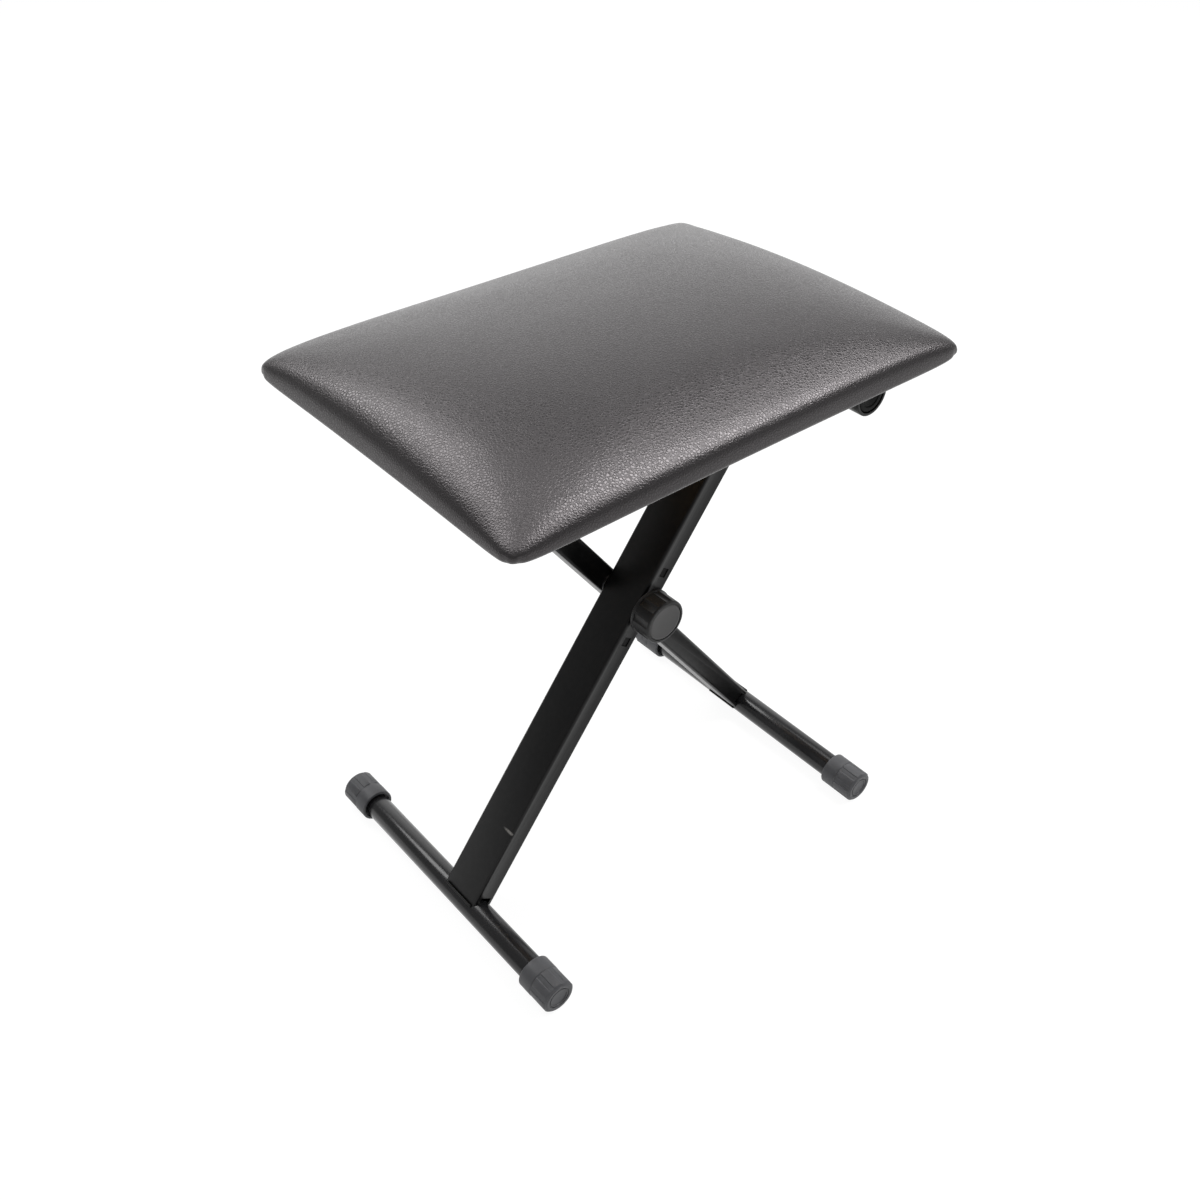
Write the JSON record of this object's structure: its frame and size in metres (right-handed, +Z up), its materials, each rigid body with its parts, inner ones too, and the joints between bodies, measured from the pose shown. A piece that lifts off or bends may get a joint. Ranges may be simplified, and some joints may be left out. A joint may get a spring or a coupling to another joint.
{
  "type": "folding keyboard bench",
  "caption": "Folding keyboard bench: crossed rectangular legs on a locking pivot with a pull knob, round foot bars with rubber caps, and a padded seat on a hinge bar and a glide bar.",
  "frame": {"origin": "on the floor, straight below the pivot, at the centre of the standing bench", "axes": "+Z up, X along the seat's long side from the glide bar (-X) to the hinge bar (+X), and the knob side faces -Y"},
  "size_m": [0.4086, 0.3, 0.4883],
  "materials": {
    "black_paint": "satin black powder coat on steel",
    "gloss_paint": "gloss black paint on steel",
    "rubber": "matt dark grey rubber",
    "plastic": "fine-grained black plastic",
    "steel": "zinc-plated steel",
    "vinyl": "black grained vinyl, semi-matt",
    "foam": "open-cell foam",
    "plywood": "raw plywood"
  },
  "bodies": {
    "front_leg": {"front_leg_tube": "black_paint", "front_foot_bar": "gloss_paint", "front_foot_cap_front": "rubber", "front_foot_cap_rear": "rubber", "front_cross_bar": "black_paint", "front_bar_plug_front": "plastic", "front_bar_plug_rear": "plastic", "lock_guide_block": "steel", "knob_bush": "steel", "return_spring": "steel"},
    "rear_leg": {"rear_leg_tube": "black_paint", "rear_foot_bar": "gloss_paint", "rear_foot_cap_front": "rubber", "rear_foot_cap_rear": "rubber", "rear_cross_bar": "black_paint", "rear_bar_plug_front": "plastic", "rear_bar_plug_rear": "plastic", "pivot_tube": "steel", "pivot_washer": "plastic", "pivot_plug": "plastic", "lock_ring": "steel"},
    "lock_knob": {"lock_knob": "plastic", "knob_disc": "plastic", "knob_insert": "steel", "lock_plunger": "steel", "lock_gear": "steel", "gear_pin": "steel"},
    "seat": {"seat_board": "plywood", "seat_foam": "foam", "seat_cover": "vinyl", "seat_rail_front": "black_paint", "seat_rail_rear": "black_paint", "hinge_strap_front": "black_paint", "hinge_strap_rear": "black_paint", "strap_screw_1": "steel", "strap_screw_2": "steel", "rail_screw_3": "steel", "rail_screw_4": "steel", "strap_screw_5": "steel", "strap_screw_6": "steel", "rail_screw_7": "steel", "rail_screw_8": "steel", "board_nut_1": "steel", "board_nut_2": "steel", "board_nut_3": "steel", "board_nut_4": "steel", "board_nut_5": "steel", "board_nut_6": "steel", "board_nut_7": "steel", "board_nut_8": "steel"}
  },
  "joints": [
    {"name": "leg_fold", "type": "hinge", "parent": "front_leg", "child": "rear_leg", "pos_m": [0, 0, 0.25232], "axis": [0, -1, 0], "range_deg": [-22.5, 90]},
    {"name": "seat_tilt", "type": "hinge", "parent": "front_leg", "child": "seat", "pos_m": [0.1354, 0, 0.43331], "axis": [0, -1, 0], "range_deg": [-11.25, 45]},
    {"name": "lock_pull", "type": "slide", "parent": "front_leg", "child": "lock_knob", "axis": [0, -1, 0], "range_m": [0, 0.007], "stiffness_N_per_m": 800, "deforming": ["return_spring"]}
  ],
  "couplings": [
    {"joint": "seat_tilt", "follows": "leg_fold", "ratio": 0.5}
  ]
}
